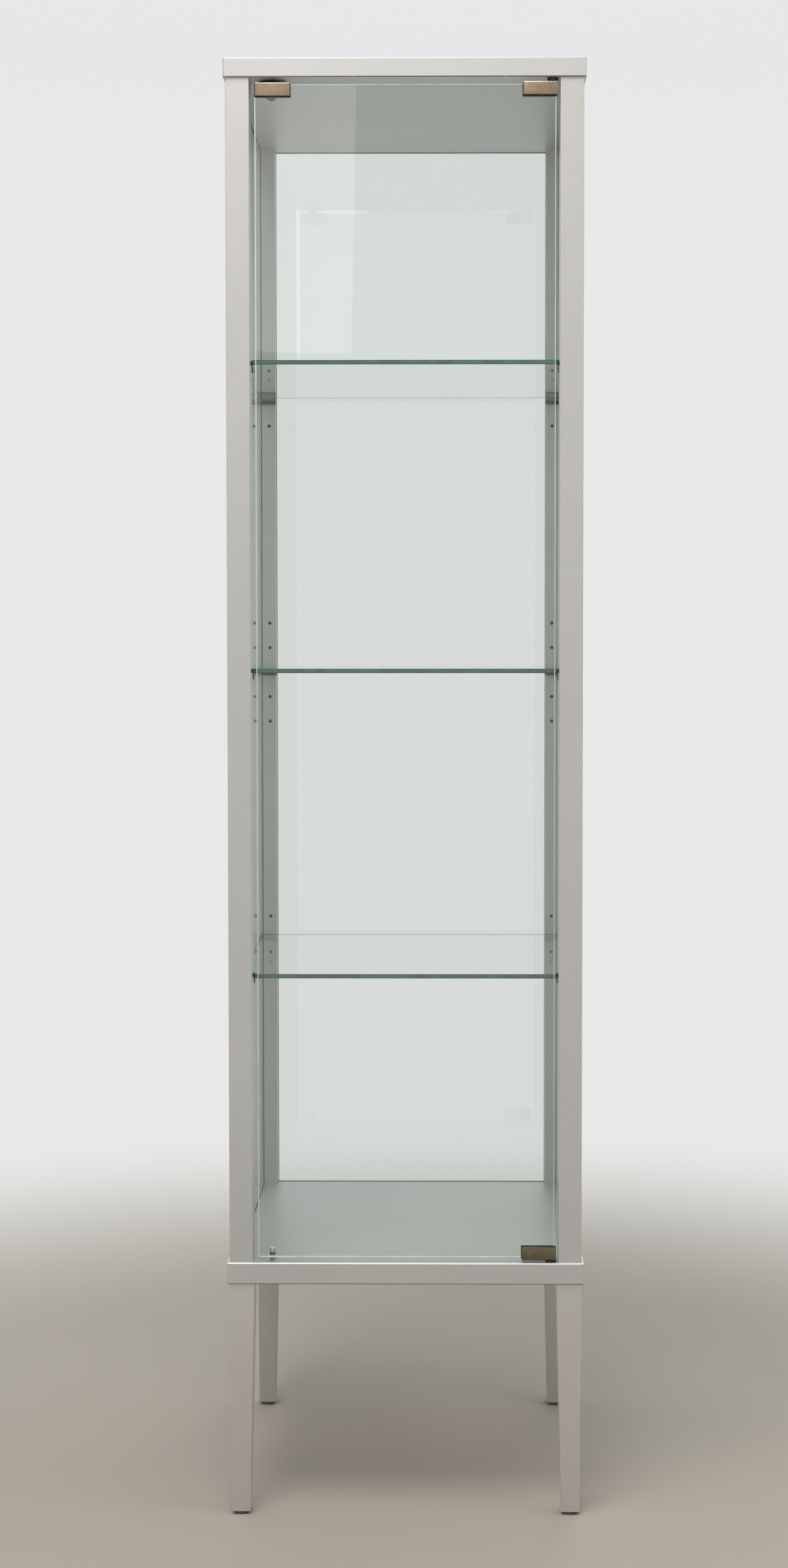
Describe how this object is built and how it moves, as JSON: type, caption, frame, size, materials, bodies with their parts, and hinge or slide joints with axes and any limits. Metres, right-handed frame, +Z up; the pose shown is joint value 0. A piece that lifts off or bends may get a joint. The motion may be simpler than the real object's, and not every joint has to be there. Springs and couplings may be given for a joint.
{
  "type": "glass display showcase",
  "caption": "Tall square glass display showcase on tapered legs, with a frameless pivot-hung glass door and removable glass shelves.",
  "frame": {"origin": "on the ground under the middle of the case, at the bottom centre of its bounding box", "axes": "+Z up along the height; the glass door faces -Y; +X is to the right seen from the front"},
  "size_m": [0.411, 0.411, 1.67],
  "materials": {
    "silver_lacquer": "silver metallic lacquer on wood, satin",
    "case_glass": "clear float glass",
    "door_glass": "clear float glass with ground edges",
    "shelf_glass": "clear float glass with polished edges",
    "satin_bronze": "satin bronze-toned nickel plate",
    "support_metal": "dark bronze plate",
    "steel": "bright zinc-plated steel",
    "black_plastic": "fine-textured black plastic",
    "foot_plastic": "dark nylon",
    "rubber": "matt",
    "clear_vinyl": "translucent soft vinyl"
  },
  "bodies": {
    "cabinet": {"base_panel": "silver_lacquer", "top_panel": "silver_lacquer", "post_front_left": "silver_lacquer", "post_front_right": "silver_lacquer", "post_rear_left": "silver_lacquer", "post_rear_right": "silver_lacquer", "side_glass_left": "case_glass", "side_glass_right": "case_glass", "back_glass": "case_glass", "support_upper_front_left": "support_metal", "support_upper_front_right": "support_metal", "support_upper_rear_left": "support_metal", "support_upper_rear_right": "support_metal", "support_middle_front_left": "support_metal", "support_middle_front_right": "support_metal", "support_middle_rear_left": "support_metal", "support_middle_rear_right": "support_metal", "support_lower_front_left": "support_metal", "support_lower_front_right": "support_metal", "support_lower_rear_left": "support_metal", "support_lower_rear_right": "support_metal", "pivot_bush_upper": "black_plastic", "pivot_bush_lower": "black_plastic", "catch_housing": "black_plastic", "catch_spring": "steel", "catch_screw_left": "steel", "catch_screw_right": "steel", "stop_pin": "steel", "stop_bumper": "rubber", "leg_front_left": "silver_lacquer", "leg_bolt_front_left": "steel", "glide_front_left": "foot_plastic", "leg_front_right": "silver_lacquer", "leg_bolt_front_right": "steel", "glide_front_right": "foot_plastic", "leg_rear_left": "silver_lacquer", "leg_bolt_rear_left": "steel", "glide_rear_left": "foot_plastic", "leg_rear_right": "silver_lacquer", "leg_bolt_rear_right": "steel", "glide_rear_right": "foot_plastic"},
    "door": {"glass_door": "door_glass", "hinge_clamp_upper": "satin_bronze", "hinge_liner_upper": "rubber", "hinge_screw_upper": "steel", "pivot_pin_upper": "steel", "hinge_clamp_lower": "satin_bronze", "hinge_liner_lower": "rubber", "hinge_screw_lower": "steel", "pivot_pin_lower": "steel", "strike_clip": "satin_bronze", "strike_liner": "rubber"},
    "upper_shelf": {"shelf_upper": "shelf_glass"},
    "middle_shelf": {"shelf_middle": "shelf_glass"},
    "lower_shelf": {"shelf_lower": "shelf_glass"},
    "plunger": {"catch_plunger": "black_plastic", "catch_magnet": "steel"}
  },
  "joints": [
    {"name": "door_hinge", "type": "hinge", "parent": "cabinet", "child": "door", "pos_m": [0.1675, -0.1975, 0.97], "axis": [0, 0, 1], "range_deg": [0, 105]},
    {"name": "upper_shelf_lift", "type": "slide", "parent": "cabinet", "child": "upper_shelf", "axis": [0, 0, 1], "range_m": [0, 0.06]},
    {"name": "middle_shelf_lift", "type": "slide", "parent": "cabinet", "child": "middle_shelf", "axis": [0, 0, 1], "range_m": [0, 0.06]},
    {"name": "lower_shelf_lift", "type": "slide", "parent": "cabinet", "child": "lower_shelf", "axis": [0, 0, 1], "range_m": [0, 0.06]},
    {"name": "catch_press", "type": "slide", "parent": "cabinet", "child": "plunger", "axis": [0, 1, 0], "range_m": [0, 0.0035], "stiffness_N_per_m": 1500, "springref_m": -0.004, "deforming": ["catch_spring"]}
  ]
}
